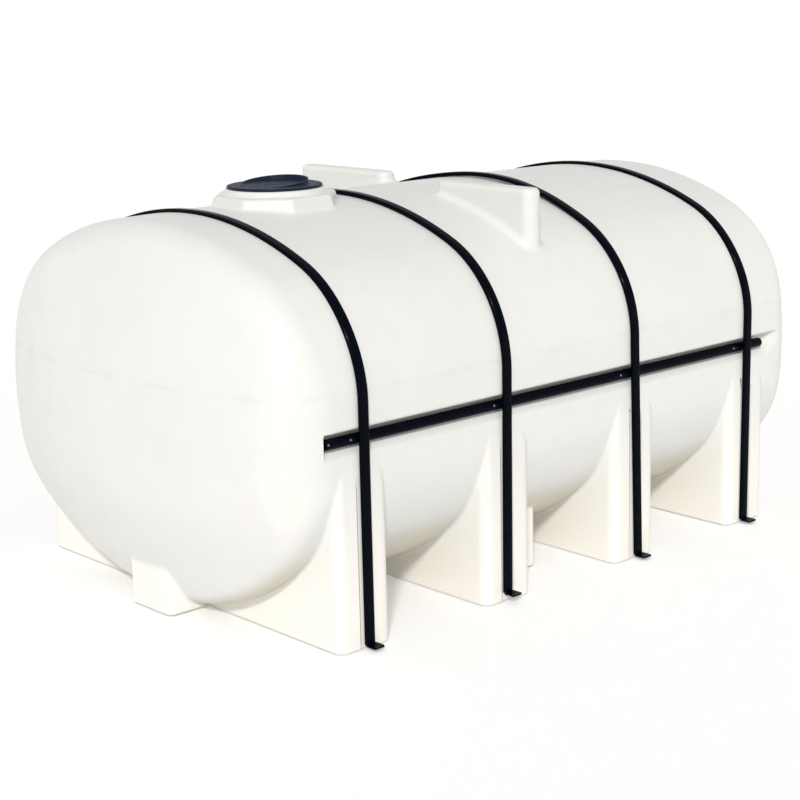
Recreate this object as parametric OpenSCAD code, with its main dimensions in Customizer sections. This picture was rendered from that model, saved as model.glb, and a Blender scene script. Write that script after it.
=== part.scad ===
// Horizontal polyethylene leg tank: a one-piece moulded body on four saddles,
// held down by four steel hoops that end in bolt-down feet.
// X runs along the tank, Z up, origin on the floor under the middle of the tank.

/* [Barrel] */
// Width of the moulded body across its flat sides
body_w = 2280; // [1800:10:2800]
// Height of the crown above the floor
crown_z = 1815; // [1500:5:2200]
// Gap between the floor and the lowest line of the belly
belly_gap = 20; // [5:1:60]
// Length of the straight barrel between the two end knuckles
barrel_len = 3090; // [2600:10:3800]
// Height at which the shoulders run into the flat sides
side_top_z = 1100; // [900:10:1300]
// Height at which the flat sides run into the bilges
side_low_z = 814; // [650:1:900]
// Radius of the two shoulder arcs
shoulder_r = 600; // [450:10:700]
// Radius of the two bilge arcs
bilge_r = 600; // [450:10:700]
// Thickness of the moulded wall
wall = 10; // [6:0.5:14]

/* [Ends] */
// Radius of the knuckle between barrel and end
knuckle_r = 150; // [80:5:220]
// Radius of the shallow dish of each end
dish_r = 3000; // [2200:50:5000]
// Height of the point that the end's rings shrink towards
dish_z = 1100; // [900:10:1200]

/* [Saddles] */
// Distance from the barrel's end to the face of the end saddle
saddle_inset = 75; // [40:5:150]
// Length of one saddle along the tank
saddle_l = 300; // [200:5:400]
// Radius of a saddle's upright corners
saddle_r = 50; // [20:5:80]
// How far a saddle's outer face stands proud of the barrel's side
saddle_proud = 8; // [4:1:15]

/* [Hoops] */
// Width of a hoop along the tank
hoop_w = 48; // [25:1:60]
// Thickness of a hoop, outwards from the tank
hoop_t = 22; // [12:1:30]
// Wall of the hoop's hollow section
hoop_wall = 3; // [2:0.5:4]
// Step that stands in for the rounding of the hoop's outer edges
hoop_edge = 2; // [1:0.5:2.5]
// How far each of the four hoops stands from its saddle's centre line
hoop_shifts = [15, -11, 12, -13]; // [-30:1:30]
// Clearance each side of a hoop in its saddle groove
groove_clear = 6; // [4:1:20]

/* [Hoop feet] */
// Width of a foot along the tank
foot_w = 60; // [50:1:90]
// Reach of a foot from the hoop's inner face
foot_reach = 72; // [60:1:120]
// Thickness of a foot
foot_t = 8; // [5:0.5:12]
// Height of the underside of each hoop's two feet above the floor
foot_zs = [14, 42, 14, 14]; // [5:1:60]
// Diameter of the bolt hole in a foot
foot_hole_d = 16; // [12:1:22]

/* [Side tubes] */
// Outer diameter of a side tube
tube_d = 48.3; // [38:0.1:60]
// Wall of a side tube
tube_wall = 3.2; // [2:0.1:5]
// Distance from the barrel's end to a side tube's end, without its cap
tube_inset = 82; // [70:1:200]
// How far the side tubes stand from the middle of the tank
tube_shift = -12; // [-30:1:30]
// Height of a side tube's centre line
tube_z = 940; // [900:5:1000]
// Gap between a side tube and the inside of the hoops
tube_gap = 0.2; // [0.1:0.1:0.4]

/* [Manway] */
// Place of the manway, from midway between the first two saddles
manway_shift = 48; // [-60:1:100]
// Half the width across the flats of the pedestal at its foot
pedestal_a = 318; // [290:1:380]
// The same at the pedestal's top
pedestal_top_a = 291; // [270:1:340]
// Height of the pedestal's top above the crown
pedestal_h = 43; // [25:1:80]
// Outer radius of the round collar at its foot
collar_r = 252; // [240:1:265]
// Height of the collar
collar_h = 28; // [20:1:50]
// Diameter of the manway opening
manway_d = 406; // [380:1:420]
// Diameter of the lid's flange
lid_d = 456; // [440:1:470]
// Thickness of the lid's flange
lid_t = 12; // [8:1:20]
// Diameter of the lid's raised hub
hub_d = 324; // [250:1:360]
// Height of the hub above the flange, at its middle
hub_h = 24; // [10:1:60]
// Slope of the hub's top, in degrees
hub_tilt = 6; // [0:0.5:7]

/* [Lugs and outlet bosses] */
// Height of the two crown lugs' level tops above the floor, over the crown
lug_rise = 48; // [20:1:80]
// Thickness of a lug along the tank
lug_l = 104; // [80:1:160]
// Rounding of a lug's upright edges
lug_r = 45; // [15:1:45]
// Distance from the centre line to the right lug's inner end
lug_right_in = 270; // [120:5:350]
// Distance from the centre line to the left lug's inner end
lug_left_in = 225; // [120:5:350]
// Distance from the centre line to a lug's outer face
lug_out = 915; // [800:5:950]
// Place of the right lug along the tank
lug_right_x = 0; // [-100:5:200]
// Place of the left lug along the tank
lug_left_x = 105; // [-100:5:200]
// Width of the end outlet boss
end_boss_w = 320; // [200:5:340]
// Distance of the end boss's middle from the centre line
end_boss_y = -20; // [-60:5:60]
// Distance from the barrel's end to the end boss's face
end_boss_reach = 150; // [120:5:200]
// Height of the end boss's top
end_boss_h = 240; // [180:5:300]
// Distance from the centre line to a side boss's face
side_boss_y = 880; // [820:5:940]
// Height of a side boss's top
side_boss_h = 295; // [260:5:400]
// Length of a side boss from its saddle
side_boss_l = 300; // [200:1:340]

/* [Hidden] */

$fn = 96;
white = [0.93, 0.92, 0.88];
black = [0.05, 0.05, 0.07];
half_w = body_w / 2;
half_l = barrel_len / 2;
saddle_pitch = (barrel_len - 2 * saddle_inset - saddle_l) / 3;
manway_x = manway_shift - saddle_pitch;

// Radius of the arc, centred on the middle line, that rises by h and runs tangent into an arc
// of radius r whose centre is a away from that line.
function tangent_r(a, h, r) = (a * a + h * h - r * r) / (2 * (h - r));
shoulder_y = half_w - shoulder_r;
bilge_y = half_w - bilge_r;
crown_r = tangent_r(shoulder_y, crown_z - side_top_z, shoulder_r);
belly_r = tangent_r(bilge_y, side_low_z - belly_gap, bilge_r);
shoulder_a = asin(shoulder_y / (crown_r - shoulder_r));
bilge_a = asin(bilge_y / (belly_r - bilge_r));
crown_steps = 8;
shoulder_steps = 12;

// Points of an arc about (cy, cz); angles run from straight up towards +Y.
function arc(cy, cz, r, a0, a1, steps) =
  [for (i = [0:steps]) let (a = a0 + (a1 - a0) * i / steps) [cy + r * sin(a), cz + r * cos(a)]];
// Points without the first one, for arcs that start where the last one ended.
function tail(pts) = [for (i = [1:len(pts) - 1]) pts[i]];
// One half of the section, from the crown round to the belly, inset by t.
function half_section(t) = concat(
  arc(0, crown_z - crown_r, crown_r - t, 0, shoulder_a, crown_steps),
  tail(arc(shoulder_y, side_top_z, shoulder_r - t, shoulder_a, 90, shoulder_steps)),
  arc(bilge_y, side_low_z, bilge_r - t, 90, 180 - bilge_a, shoulder_steps),
  tail(arc(0, belly_gap + belly_r, belly_r - t, 180 - bilge_a, 180, crown_steps)));
// The whole section, closed: the mirrored half leaves out the two shared points.
function section(t) = let (h = half_section(t), n = len(h))
  concat(h, [for (i = [n - 2:-1:1]) [-h[i][0], h[i][1]]]);

// Dish profile: [share of the section, distance past the barrel's end], inset by t.
dish_a = asin((half_w - knuckle_r) / (dish_r - knuckle_r));
dish_drop = (dish_r - knuckle_r) * cos(dish_a);
knuckle_steps = 6;
dish_steps = 5;
function dish_profile(t) = [
  for (i = [0:knuckle_steps]) let (a = 90 - (90 - dish_a) * i / knuckle_steps)
    [(half_w - knuckle_r + (knuckle_r - t) * sin(a)) / (half_w - t), (knuckle_r - t) * cos(a)],
  for (i = [1:dish_steps - 1]) let (a = dish_a * (1 - i / dish_steps))
    [(dish_r - t) * sin(a) / (half_w - t), (dish_r - t) * cos(a) - dish_drop]];
dish_depth = dish_r - dish_drop;

// Extrudes a profile drawn in the (Y, Z) plane along X, from x0 over a length.
module along_x(x0, length) {
  translate([x0, 0, 0]) rotate([90, 0, 90]) linear_extrude(height = length) children();
}

module mirrored_y(flip) {
  mirror([0, flip ? 1 : 0, 0]) children();
}

module mirrored_x(flip) {
  mirror([flip ? 1 : 0, 0, 0]) children();
}

// The barrel's outer form as a solid, for what is trimmed to its surface.
module barrel_form(grow = 0) {
  along_x(-half_l, barrel_len) polygon(section(-grow));
}

// ---- Barrel with its two side recesses ----
// Room past each end of a side tube.
tube_end_gap = 55;
tube_len = barrel_len - 2 * tube_inset;
recess_half_l = tube_len / 2 + tube_end_gap;
recess_top = tube_z + 45;
recess_knee = tube_z - 10;
recess_foot = tube_z - 70;
// Clearance between a side tube and the back of its recess.
recess_clear = 4;
recess_depth = tube_d + recess_clear;
// How far the tool that cuts a recess stands out of the side.
recess_out = 50;

module recess_profile(t) {
  polygon([
    [half_w + recess_out, recess_top + t], [half_w - recess_depth - t, recess_top + t],
    [half_w - recess_depth - t, recess_knee - t], [half_w - t, recess_foot - 2 * t],
    [half_w + recess_out, recess_foot - 2 * t]]);
}

module recess(t) {
  for (side = [0, 1])
    mirrored_y(side == 1) along_x(-recess_half_l - t, 2 * (recess_half_l + t)) recess_profile(t);
}

module barrel_shell() {
  color(white) difference() {
    barrel_form();
    recess(0);
    difference() {
      along_x(-half_l - 1, barrel_len + 2) polygon(section(wall));
      recess(wall);
    }
    translate([manway_x, 0, side_top_z]) cylinder(d = manway_d, h = crown_z);
  }
}

// ---- Dished ends ----
// Ring of section points shrunk by share s towards the dish's centre, at depth e.
function ring(pts, s, e) = [for (q = pts) [half_l + e, q[0] * s, dish_z + (q[1] - dish_z) * s]];
function shell_points(t) = let (pts = section(t), prof = dish_profile(t))
  concat([for (p = prof) each ring(pts, p[0], p[1])], [[half_l + dish_depth - t, 0, dish_z]]);

// Faces of an end's skin: rings of n points, then a fan round the dish's middle.
function skin_faces(n, rings) = concat(
  [for (k = [0:rings - 2], i = [0:n - 1]) let (j = (i + 1) % n)
    [k * n + i, k * n + j, (k + 1) * n + j, (k + 1) * n + i]],
  [for (i = [0:n - 1]) [(rings - 1) * n + i, (rings - 1) * n + (i + 1) % n, rings * n]]);

module dished_end() {
  n = len(section(0));
  outer = shell_points(0);
  inner = shell_points(wall);
  base = len(outer);
  skin = skin_faces(n, len(dish_profile(0)));
  lining = [for (f = skin) [for (i = [len(f) - 1:-1:0]) f[i] + base]];
  rim = [for (i = [0:n - 1]) let (j = (i + 1) % n) [j, i, base + i, base + j]];
  polyhedron(points = concat(outer, inner), faces = concat(skin, lining, rim), convexity = 4);
}

// The end's outer form as a solid, for what is trimmed to its surface.
module end_form() {
  n = len(section(0));
  back = [for (i = [n - 1:-1:0]) i];
  skin = concat(skin_faces(n, len(dish_profile(0))), [back]);
  polyhedron(points = shell_points(0), faces = skin, convexity = 4);
}

module far_end() {
  color(white) dished_end();
}

module near_end() {
  color(white) mirrored_x(true) dished_end();
}

// ---- Saddles ----
function saddle_x(k) = (k - 2.5) * saddle_pitch;
function hoop_x(k) = saddle_x(k) + hoop_shifts[k - 1];
saddle_half_w = half_w + saddle_proud;
// The proud face leans back into the barrel's side over this height.
saddle_fade_h = 110;
saddle_fade_a = atan(saddle_proud / saddle_fade_h);

module rounded_plan(l, w, r) {
  hull_l = l / 2 - r;
  hull_w = w / 2 - r;
  square([l - 2 * r, w], center = true);
  square([l, w - 2 * r], center = true);
  for (x = [-hull_l, hull_l], y = [-hull_w, hull_w]) translate([x, y]) circle(r = r);
}

module saddle(k) {
  x = saddle_x(k);
  groove_w = hoop_w + 2 * groove_clear;
  color(white) difference() {
    translate([x, 0, 0]) linear_extrude(height = side_low_z)
      rounded_plan(saddle_l, 2 * saddle_half_w, saddle_r);
    translate([x, 0, wall]) linear_extrude(height = side_low_z)
      rounded_plan(saddle_l - 2 * wall, 2 * (half_w - wall), saddle_r - wall);
    barrel_form();
    for (side = [0, 1]) mirrored_y(side == 1) {
      translate([hoop_x(k) - groove_w / 2, half_w, -1])
        cube([groove_w, 2 * saddle_proud, side_low_z + 2]);
      // The proud face runs out into the barrel's side.
      translate([x - saddle_l, half_w, side_low_z]) rotate([saddle_fade_a, 0, 0])
        translate([0, 0, -saddle_fade_h])
          cube([2 * saddle_l, 2 * saddle_proud, 2 * saddle_fade_h]);
    }
  }
}

// ---- Crown lugs ----
module crown_lug(x, inner, right) {
  top = crown_z + lug_rise;
  middle = (inner + lug_out) / 2;
  reach = lug_out - inner;
  bevel = 14;
  color(white) translate([x, 0, 0]) mirrored_y(right) difference() {
    translate([0, middle, side_top_z]) linear_extrude(height = top - side_top_z)
      rounded_plan(lug_l, reach, lug_r);
    translate([0, middle, side_top_z - 1]) linear_extrude(height = top - side_top_z - wall + 1)
      rounded_plan(lug_l - 2 * wall, reach - 2 * wall, lug_r - wall);
    barrel_form();
    // Bevel of the top edge at the outer end.
    translate([-lug_l, lug_out - bevel, top]) rotate([-45, 0, 0])
      cube([2 * lug_l, 2 * bevel, 2 * bevel]);
  }
}

// ---- Outlet bosses ----
// Gap between the floor and a boss's underside.
boss_z = belly_gap / 4;

module end_outlet_boss() {
  r = 40;
  inner_x = half_l - saddle_inset;
  face_x = half_l + end_boss_reach;
  color(white) translate([0, end_boss_y, 0]) mirrored_x(true) difference() {
    translate([0, 0, boss_z]) linear_extrude(height = end_boss_h)
      boss_plan(inner_x, face_x, end_boss_w, r);
    translate([0, 0, boss_z + wall]) linear_extrude(height = end_boss_h)
      boss_plan(inner_x - 1, face_x - wall, end_boss_w - 2 * wall, r - wall);
    translate([0, -end_boss_y, 0]) {
      barrel_form();
      end_form();
    }
  }
}

// Plan of a boss: square at x0, rounded corners at x1.
module boss_plan(x0, x1, w, r) {
  translate([x0, -w / 2]) square([x1 - r - x0, w]);
  translate([x0, -w / 2 + r]) square([x1 - x0, w - 2 * r]);
  for (y = [-w / 2 + r, w / 2 - r]) translate([x1 - r, y]) circle(r = r);
}

module side_outlet_boss(right) {
  x0 = saddle_x(2) + saddle_l / 2;
  inner_y = 500;
  color(white) mirrored_y(right) difference() {
    translate([x0, inner_y, boss_z])
      cube([side_boss_l, side_boss_y - inner_y, side_boss_h]);
    translate([x0 - 1, inner_y + wall, boss_z + wall])
      cube([side_boss_l - wall + 1, side_boss_y - inner_y - 2 * wall, side_boss_h]);
    barrel_form();
  }
}

// ---- Manway ----
pedestal_top = crown_z + pedestal_h;
collar_top = pedestal_top + collar_h;
// Direction that the hub's top rises in, turned from +X towards -Y, in degrees.
hub_turn = 42;

// Octagonal block that tapers from half width a0 at z0 to a1 at z1.
module octagon_block(a0, a1, z0, z1) {
  k = 1 / cos(22.5);
  translate([manway_x, 0, z0]) rotate([0, 0, 22.5])
    cylinder(r1 = a0 * k, r2 = a1 * k, h = z1 - z0, $fn = 8);
}

// How far below the crown the pedestal's block starts, to reach the sloping shoulders.
pedestal_sink = 60;

module manway_pedestal() {
  foot = crown_z - pedestal_sink;
  color(white) difference() {
    octagon_block(pedestal_a, pedestal_top_a, foot, pedestal_top);
    octagon_block(pedestal_a - wall, pedestal_top_a - wall, foot - 1, pedestal_top - wall);
    translate([manway_x, 0, foot]) cylinder(d = manway_d, h = 2 * crown_z - foot);
    barrel_form();
  }
}

module manway_collar() {
  top_r = lid_d / 2 + 8;
  color(white) difference() {
    translate([manway_x, 0, pedestal_top]) cylinder(r1 = collar_r, r2 = top_r, h = collar_h);
    translate([manway_x, 0, pedestal_top - 1]) cylinder(d = manway_d, h = collar_h + 2);
  }
}

module manway_lid() {
  lip = lid_t / 2;
  color(black) translate([manway_x, 0, collar_top]) {
    cylinder(d = lid_d, h = lid_t);
    translate([0, 0, lid_t]) cylinder(d1 = lid_d, d2 = lid_d - 2 * lip, h = lip);
    difference() {
      translate([0, 0, lid_t]) cylinder(d = hub_d, h = hub_h + hub_d * sin(hub_tilt));
      // Cuts the hub's sloping top.
      translate([0, 0, lid_t + hub_h]) rotate([0, -hub_tilt, -hub_turn])
        translate([-hub_d, -hub_d, 0]) cube([2 * hub_d, 2 * hub_d, hub_d]);
    }
  }
}

// ---- Side tubes ----
tube_y = half_w - tube_gap - tube_d / 2;

module side_tube(right) {
  color(black) mirrored_y(right) translate([tube_shift - tube_len / 2, tube_y, tube_z])
    rotate([0, 90, 0]) difference() {
      cylinder(d = tube_d, h = tube_len);
      translate([0, 0, -1]) cylinder(d = tube_d - 2 * tube_wall, h = tube_len + 2);
    }
}

module tube_cap(right, far) {
  // Height of the cap's low dome.
  dome_h = tube_d * 0.3;
  // Radius of the ball that a cap of this height is cut from.
  ball_r = (pow(tube_d / 2, 2) + dome_h * dome_h) / (2 * dome_h);
  color(black) mirrored_y(right) translate([tube_shift, tube_y, tube_z]) mirrored_x(!far)
    translate([tube_len / 2, 0, 0]) rotate([0, 90, 0]) intersection() {
      translate([0, 0, dome_h - ball_r]) sphere(r = ball_r);
      cylinder(d = tube_d, h = tube_d);
    }
}

// ---- Hoops ----
// Half of a hoop's run at distance t off the body: crown, shoulder, then straight down to z.
function hoop_half(t, z) = concat(
  arc(0, crown_z - crown_r, crown_r + t, 0, shoulder_a, crown_steps),
  tail(arc(shoulder_y, side_top_z, shoulder_r + t, shoulder_a, 90, shoulder_steps)),
  [[half_w + t, z]]);
// The whole run, from the left foot over the crown to the right foot.
function hoop_path(t, z) = let (h = hoop_half(t, z), n = len(h))
  concat([for (i = [n - 1:-1:1]) [-h[i][0], h[i][1]]], h);
function backwards(pts) = [for (i = [len(pts) - 1:-1:0]) pts[i]];

module hoop_band(t_in, t_out, w, z) {
  along_x(-w / 2, w) polygon(concat(hoop_path(t_out, z), backwards(hoop_path(t_in, z))));
}

module hoop(k) {
  bottom = foot_zs[k - 1] + foot_t;
  color(black) translate([hoop_x(k), 0, 0]) difference() {
    union() {
      hoop_band(0, hoop_t - hoop_edge, hoop_w, bottom);
      hoop_band(0, hoop_t, hoop_w - 2 * hoop_edge, bottom);
    }
    hoop_band(hoop_wall, hoop_t - hoop_wall, hoop_w - 2 * hoop_wall, bottom - 1);
  }
}

// ---- Hoop feet ----
foot_shift = (foot_w - hoop_w) / 2;
// Clearance between a foot and the saddle's proud face.
foot_clear = 0.5;
foot_y = saddle_half_w + foot_clear;
foot_hole_y = half_w + hoop_t + (foot_reach - hoop_t) / 2;

module foot(right, k) {
  color(black) mirrored_y(right) difference() {
    translate([hoop_x(k) - hoop_w / 2, foot_y, foot_zs[k - 1]])
      cube([foot_w, half_w + foot_reach - foot_y, foot_t]);
    translate([hoop_x(k) + foot_shift, foot_hole_y, foot_zs[k - 1] - 1])
      cylinder(d = foot_hole_d, h = foot_t + 2);
  }
}

// The right-hand side is -Y.
barrel_shell();
near_end();
far_end();
saddle(1);  // saddle_1
saddle(2);  // saddle_2
saddle(3);  // saddle_3
saddle(4);  // saddle_4
crown_lug(lug_left_x, lug_left_in, false);  // crown_lug_left
crown_lug(lug_right_x, lug_right_in, true);  // crown_lug_right
end_outlet_boss();
side_outlet_boss(false);  // side_outlet_boss_left
side_outlet_boss(true);  // side_outlet_boss_right
manway_pedestal();
manway_collar();
manway_lid();
side_tube(false);  // side_tube_left
side_tube(true);  // side_tube_right
tube_cap(false, false);  // tube_cap_left_near
tube_cap(false, true);  // tube_cap_left_far
tube_cap(true, false);  // tube_cap_right_near
tube_cap(true, true);  // tube_cap_right_far
hoop(1);  // hoop_1
hoop(2);  // hoop_2
hoop(3);  // hoop_3
hoop(4);  // hoop_4
foot(false, 1);  // foot_left_1
foot(false, 2);  // foot_left_2
foot(false, 3);  // foot_left_3
foot(false, 4);  // foot_left_4
foot(true, 1);  // foot_right_1
foot(true, 2);  // foot_right_2
foot(true, 3);  // foot_right_3
foot(true, 4);  // foot_right_4
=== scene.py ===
# %% [markdown]
# # Polyethylene leg tank
# A rotationally moulded tank lies on four moulded saddles, held down by four painted steel hoops.
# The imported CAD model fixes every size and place, and is what physics touches. This script puts a
# softer, finer piece where each CAD node is: the moulded body first, then the steel, the small
# bolts and the lid, and last the camera and the light.

# %% Frame and numbers
import math

import bpy
import numpy as np
from mathutils import Matrix, Vector


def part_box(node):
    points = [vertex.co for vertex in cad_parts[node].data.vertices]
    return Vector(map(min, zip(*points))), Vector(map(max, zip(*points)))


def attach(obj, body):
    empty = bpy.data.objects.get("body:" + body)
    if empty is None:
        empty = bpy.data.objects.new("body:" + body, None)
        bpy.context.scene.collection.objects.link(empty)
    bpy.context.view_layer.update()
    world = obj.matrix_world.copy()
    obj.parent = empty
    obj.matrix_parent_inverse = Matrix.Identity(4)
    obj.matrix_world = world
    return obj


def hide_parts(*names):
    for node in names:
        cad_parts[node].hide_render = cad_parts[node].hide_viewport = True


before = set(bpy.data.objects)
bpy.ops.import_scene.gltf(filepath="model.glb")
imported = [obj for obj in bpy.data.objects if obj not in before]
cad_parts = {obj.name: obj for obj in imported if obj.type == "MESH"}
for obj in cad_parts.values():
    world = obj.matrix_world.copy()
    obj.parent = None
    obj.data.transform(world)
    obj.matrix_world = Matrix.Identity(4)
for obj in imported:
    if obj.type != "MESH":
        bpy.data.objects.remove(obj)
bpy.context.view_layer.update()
collection = bpy.context.scene.collection


def box(node):
    """Lowest and highest corners of a CAD node, in millimetres."""
    low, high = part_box(node)
    return np.array(low) * 1000, np.array(high) * 1000


half_l, half_w, crown = box("barrel_shell")[1]
belly = box("barrel_shell")[0][2]
apex = box("far_end")[1][0]
print("barrel", round(half_l), round(half_w), round(crown), "end at", round(apex))

# %% [markdown]
# ## Colours and nodes
# A finish is judged on a screen, so colours are written as screen values and turned into the
# linear values that Blender mixes. Nodes could be added and linked one line at a time. One helper
# that adds a node with its settings and links keeps each tree short enough to read.

# %% Helpers for colours and nodes


def colour(code):
    parts = [int(code[i:i + 2], 16) / 255 for i in (0, 2, 4)]
    return [c / 12.92 if c < 0.04 else ((c + 0.055) / 1.055) ** 2.4 for c in parts] + [1.0]


def add(tree, kind, inputs=(), **settings):
    """Adds a node. An input is a value, a (node, output name) pair to link, or a list of pairs."""
    made = tree.nodes.new(kind)
    for name, value in settings.items():
        setattr(made, name, value)
    for name, value in dict(inputs).items():
        pairs = value if isinstance(value, list) else [value]
        if isinstance(pairs[0], tuple) and isinstance(pairs[0][0], bpy.types.Node):
            for node, output in pairs:
                tree.links.new(node.outputs[output], made.inputs[name])
        else:
            made.inputs[name].default_value = value
    return made


def new_material(name):
    made = bpy.data.materials.new(name)
    made.use_nodes = True
    made.node_tree.nodes.clear()
    return made, made.node_tree


def finish_material(tree, **inputs):
    """Ends a tree in a shader, whose inputs are named with _ for each space."""
    shader = add(tree, "ShaderNodeBsdfPrincipled", {k.replace("_", " "): v for k, v in inputs.items()})
    add(tree, "ShaderNodeOutputMaterial", {"Surface": (shader, "BSDF")})


print("screen grey 808080 is", round(colour("808080")[0], 3), "in linear light")

# %% [markdown]
# ## Natural polyethylene: tone and painted bounce light
# Unpigmented polyethylene is a milky off-white, and moulding leaves its tone slightly uneven. Its
# upright faces near the floor are painted creamier and lighter: painted bounce light, which stands in
# for light from the floor and lightens the shade between the saddles. Subsurface scattering would
# also bring light into a milky plastic, but it makes the render long. Height and slope mix the
# painted light in here, which is quick and holds from every side.

# %% Polyethylene tone
# A noise of scale s has marks about 1000 / s mm wide: 590 mm for the cast, 110 mm for the mottle.
white, tree = new_material("natural_polyethylene")
place = add(tree, "ShaderNodeTexCoord")
here = (place, "Object")
at = add(tree, "ShaderNodeSeparateXYZ", {"Vector": here})
way = add(tree, "ShaderNodeNewGeometry")
facing = add(tree, "ShaderNodeSeparateXYZ", {"Vector": (way, "Normal")})
broad = add(tree, "ShaderNodeTexNoise", {"Vector": here, "Scale": 1.7, "Detail": 3.0})
mottled = add(tree, "ShaderNodeTexNoise", {"Vector": here, "Scale": 9.0, "Detail": 5.0})
cast = add(tree, "ShaderNodeMapRange", {"Value": (broad, "Fac"), "From Min": 0.4, "From Max": 0.62})
tone = add(tree, "ShaderNodeMix", {"Factor": (cast, "Result"), "A": colour("dbdbd8"),
                                   "B": colour("d8dad7")}, data_type="RGBA")
mottle = add(tree, "ShaderNodeMapRange", {"Value": (mottled, "Fac"), "From Min": 0.45,
                                          "From Max": 0.8, "To Max": 0.3})
tinted = add(tree, "ShaderNodeMix", {"Factor": (mottle, "Result"), "A": (tone, "Result"),
                                     "B": colour("d5d2ca")}, data_type="RGBA")
# Painted bounce light: upright faces near the floor are mixed towards a lighter cream.
low_down = add(tree, "ShaderNodeMapRange", {"Value": (at, "Z"), "From Min": 0.95, "From Max": 0.1},
           interpolation_type="SMOOTHSTEP")
upright = add(tree, "ShaderNodeMapRange", {"Value": (facing, "Z"), "From Min": -0.34,
                                           "From Max": -0.04}, interpolation_type="SMOOTHSTEP")
bounce_light_mask = add(tree, "ShaderNodeMath", {0: (low_down, "Result"), 1: (upright, "Result")},
            operation="MULTIPLY")
tone_with_painted_bounce = add(tree, "ShaderNodeMix", {"Factor": (bounce_light_mask, "Value"), "A": (tinted, "Result"),
                                   "B": colour("e9e6df")}, data_type="RGBA")
print("polyethylene tone", len(tree.nodes), "nodes")

# %% [markdown]
# ## Natural polyethylene: painted underside shade and parting marks
# Faces that point down are painted darker and olive, a painted shade under the belly, the dish and
# the saddles. The mould's halves met in a line round the tank, and just above it the skin is
# darkened in a faint, patchy band. Both could be painted by hand. Slope, height and the mottle
# place them here, so they have no seam and change with the tank's own shape.

# %% Painted underside shade and parting marks
parting_z = 1.137
# Painted shade: faces that point down are mixed towards a dark olive.
under = add(tree, "ShaderNodeMapRange", {"Value": (facing, "Z"), "From Min": -0.5, "From Max": -1.0,
                                         "To Max": 0.75}, interpolation_type="SMOOTHSTEP")
painted_underside_shade = add(tree, "ShaderNodeMix", {"Factor": (under, "Result"), "A": (tone_with_painted_bounce, "Result"),
                                    "B": colour("b9ae8e")}, data_type="RGBA")
# A faint, patchy darkening in a band just above the parting line.
above = add(tree, "ShaderNodeMapRange", {"Value": (at, "Z"), "From Min": parting_z,
                                         "From Max": parting_z + 0.03, "To Min": 1.0, "To Max": 0.0})
below = add(tree, "ShaderNodeMapRange", {"Value": (at, "Z"), "From Min": parting_z - 0.004,
                                         "From Max": parting_z, "To Max": 0.13})
parting_band = add(tree, "ShaderNodeMath", {0: (above, "Result"), 1: (below, "Result")},
             operation="MULTIPLY")
patch = add(tree, "ShaderNodeMapRange", {"Value": (mottled, "Fac"), "From Min": 0.3,
                                         "From Max": 0.75})
parting_marks = add(tree, "ShaderNodeMath", {0: (parting_band, "Value"), 1: (patch, "Result")},
             operation="MULTIPLY")
whole = add(tree, "ShaderNodeMix", {"Factor": (parting_marks, "Value"), "A": (painted_underside_shade, "Result"),
                                    "B": colour("a89e8a")}, data_type="RGBA")
print("parting line at", parting_z, "m")

# %% [markdown]
# ## Natural polyethylene: relief
# The skin has a soft sheen, broad shallow waves and a fine pebble, and at the parting line the
# surface turns a few degrees. A mesh would need millions of faces to hold all this, so bump does
# it. The real pebble is finer than a millimetre. It is drawn about 4 mm wide so that it shows.

# %% Polyethylene relief
fine = add(tree, "ShaderNodeTexNoise", {"Vector": here, "Scale": 260.0, "Detail": 2.0})
rough = add(tree, "ShaderNodeMapRange", {"Value": (mottled, "Fac"), "From Min": 0.3,
                                         "From Max": 0.8, "To Min": 0.38, "To Max": 0.52})
share = add(tree, "ShaderNodeMapRange", {"Value": (at, "Z"), "From Min": parting_z,
                                         "From Max": parting_z + 0.22, "To Min": 1.0, "To Max": 0.0})
bend = add(tree, "ShaderNodeMath", {0: (share, "Result"), 1: 2.0}, operation="POWER")
waves = add(tree, "ShaderNodeBump", {"Height": (broad, "Fac"), "Strength": 0.35, "Distance": 0.02})
seam = add(tree, "ShaderNodeBump", {"Height": (bend, "Value"), "Normal": (waves, "Normal"),
                                    "Strength": 1.0, "Distance": 0.009})
skin = add(tree, "ShaderNodeBump", {"Height": (fine, "Fac"), "Normal": (seam, "Normal"),
                                    "Strength": 0.25, "Distance": 0.0004})
finish_material(tree, Base_Color=(whole, "Result"), Roughness=(rough, "Result"),
                Normal=(skin, "Normal"), IOR=1.5, Specular_IOR_Level=0.4)
print(white.name, len(tree.nodes), "nodes")

# %% [markdown]
# ## Black paint, lid plastic and zinc
# The steel is enamelled black, which is deep and smooth with a faint orange peel about 3 mm
# wide. A faint navy tint in its black is a painted reflection of a blue sky. The lid is moulded
# black plastic, satin, with a blue tint that is also a painted sky reflection. The small bolts are
# zinc plated, a bright cool grey. Each could have its own tree, but all three vary in the same way,
# with one noise for tone and roughness and a finer one for the skin, so one function makes them.
# The gloss of the paint is set low, because a white room all round would wash out its black.

# %% Paint, lid and zinc


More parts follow.
